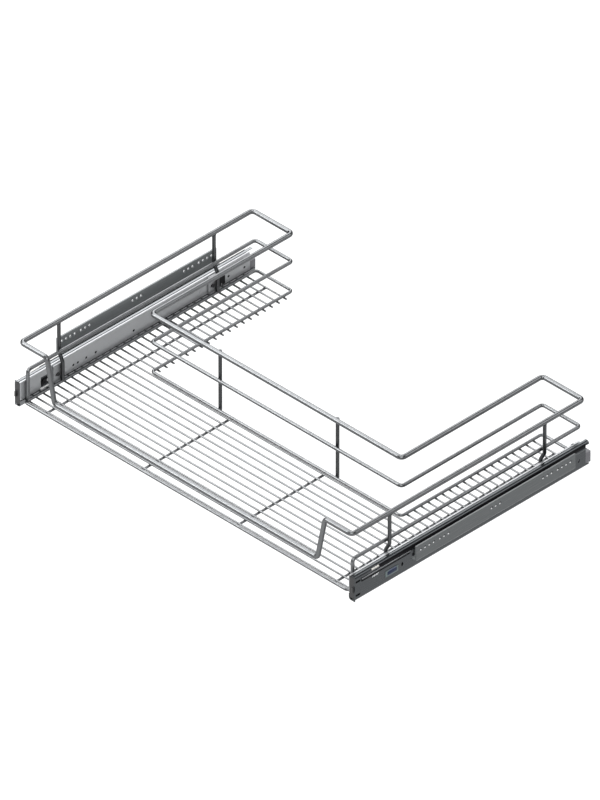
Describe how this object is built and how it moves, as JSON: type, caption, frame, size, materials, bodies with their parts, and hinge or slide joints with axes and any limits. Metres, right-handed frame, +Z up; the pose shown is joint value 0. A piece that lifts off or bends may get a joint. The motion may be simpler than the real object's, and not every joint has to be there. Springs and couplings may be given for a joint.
{
  "type": "under-sink pull-out drawer",
  "caption": "Wire basket drawer shaped round a sink, on telescopic ball slides with stepped side brackets, soft-close units and release levers.",
  "frame": {"origin": "bottom centre of the whole part's box, midway between the cabinet sides and midway along the slides", "axes": "+X to the right-hand cabinet side, -Y is the way the drawer opens, +Z up"},
  "size_m": [0.768, 0.5066, 0.1214],
  "materials": {
    "chrome_wire": "bright chrome plating",
    "fastener_steel": "bright zinc",
    "zinc_steel": "bright zinc plating",
    "carrier_steel": "bright zinc plating",
    "cage_steel": "plain rolled steel",
    "ball_steel": "polished",
    "buffer_plastic": "black",
    "lever_plastic": "black",
    "detent_plastic": "blue-green",
    "housing_plastic": "grey with a purple cast",
    "striker_plastic": "black",
    "catch_plastic": "natural",
    "damper_steel": "plain",
    "spring_steel": "oiled",
    "stop_rubber": "black"
  },
  "bodies": {
    "cabinet_side": {"cabinet_member_left": "zinc_steel", "cabinet_member_right": "zinc_steel", "mounting_bracket_left": "zinc_steel", "mounting_bracket_right": "zinc_steel", "bracket_rivets": "fastener_steel", "detent_pad_left": "detent_plastic", "detent_pad_right": "detent_plastic", "softclose_housing_left": "housing_plastic", "softclose_housing_right": "housing_plastic", "softclose_catch_left": "catch_plastic", "softclose_catch_right": "catch_plastic", "softclose_damper_left": "damper_steel", "softclose_damper_right": "damper_steel", "softclose_spring_left": "spring_steel", "softclose_spring_right": "spring_steel", "middle_stop_left": "stop_rubber", "middle_stop_right": "stop_rubber"},
    "drawer": {"top_rail": "chrome_wire", "middle_rail": "chrome_wire", "bottom_frame": "chrome_wire", "floor_wires_front": "chrome_wire", "floor_wires_left": "chrome_wire", "floor_wires_right": "chrome_wire", "front_post_left": "chrome_wire", "front_post_right": "chrome_wire", "rear_post_left": "chrome_wire", "rear_post_right": "chrome_wire", "recess_post_left": "chrome_wire", "recess_post_right": "chrome_wire", "side_support_left": "chrome_wire", "side_support_right": "chrome_wire", "centre_support_left": "chrome_wire", "centre_support_right": "chrome_wire", "fixing_lugs_left": "chrome_wire", "fixing_lugs_right": "chrome_wire", "lug_screws": "fastener_steel", "carrier_rail_left": "carrier_steel", "carrier_rail_right": "carrier_steel", "drawer_member_left": "zinc_steel", "drawer_member_right": "zinc_steel", "carrier_rivets": "fastener_steel", "front_buffer_left": "buffer_plastic", "front_buffer_right": "buffer_plastic", "lever_pivots": "fastener_steel", "striker_block_left": "striker_plastic", "striker_block_right": "striker_plastic", "striker_pins": "fastener_steel"},
    "middle_left": {"middle_member_left": "zinc_steel"},
    "outer_retainer_left": {"outer_cage_left": "cage_steel", "outer_balls_left": "ball_steel"},
    "inner_retainer_left": {"inner_cage_left": "cage_steel", "inner_balls_left": "ball_steel"},
    "lever_left": {"release_lever_left": "lever_plastic"},
    "middle_right": {"middle_member_right": "zinc_steel"},
    "outer_retainer_right": {"outer_cage_right": "cage_steel", "outer_balls_right": "ball_steel"},
    "inner_retainer_right": {"inner_cage_right": "cage_steel", "inner_balls_right": "ball_steel"},
    "lever_right": {"release_lever_right": "lever_plastic"}
  },
  "joints": [
    {"name": "drawer_slide", "type": "slide", "parent": "cabinet_side", "child": "drawer", "axis": [0, -1, 0], "range_m": [0, 0.5]},
    {"name": "middle_left_slide", "type": "slide", "parent": "cabinet_side", "child": "middle_left", "axis": [0, -1, 0], "range_m": [0, 0.25]},
    {"name": "outer_retainer_left_slide", "type": "slide", "parent": "cabinet_side", "child": "outer_retainer_left", "axis": [0, -1, 0], "range_m": [0, 0.125]},
    {"name": "inner_retainer_left_slide", "type": "slide", "parent": "cabinet_side", "child": "inner_retainer_left", "axis": [0, -1, 0], "range_m": [0, 0.375]},
    {"name": "lever_left_turn", "type": "hinge", "parent": "drawer", "child": "lever_left", "pos_m": [-0.35005, -0.19395, 0.0245], "axis": [1, 0, 0], "range_deg": [-8, 8], "stiffness_Nm_per_rad": 0.02},
    {"name": "middle_right_slide", "type": "slide", "parent": "cabinet_side", "child": "middle_right", "axis": [0, -1, 0], "range_m": [0, 0.25]},
    {"name": "outer_retainer_right_slide", "type": "slide", "parent": "cabinet_side", "child": "outer_retainer_right", "axis": [0, -1, 0], "range_m": [0, 0.125]},
    {"name": "inner_retainer_right_slide", "type": "slide", "parent": "cabinet_side", "child": "inner_retainer_right", "axis": [0, -1, 0], "range_m": [0, 0.375]},
    {"name": "lever_right_turn", "type": "hinge", "parent": "drawer", "child": "lever_right", "pos_m": [0.35005, -0.19395, 0.0245], "axis": [1, 0, 0], "range_deg": [-8, 8], "stiffness_Nm_per_rad": 0.02}
  ],
  "couplings": [
    {"joint": "middle_left_slide", "follows": "drawer_slide", "ratio": 0.5},
    {"joint": "outer_retainer_left_slide", "follows": "drawer_slide", "ratio": 0.25},
    {"joint": "inner_retainer_left_slide", "follows": "drawer_slide", "ratio": 0.75},
    {"joint": "middle_right_slide", "follows": "drawer_slide", "ratio": 0.5},
    {"joint": "outer_retainer_right_slide", "follows": "drawer_slide", "ratio": 0.25},
    {"joint": "inner_retainer_right_slide", "follows": "drawer_slide", "ratio": 0.75}
  ]
}
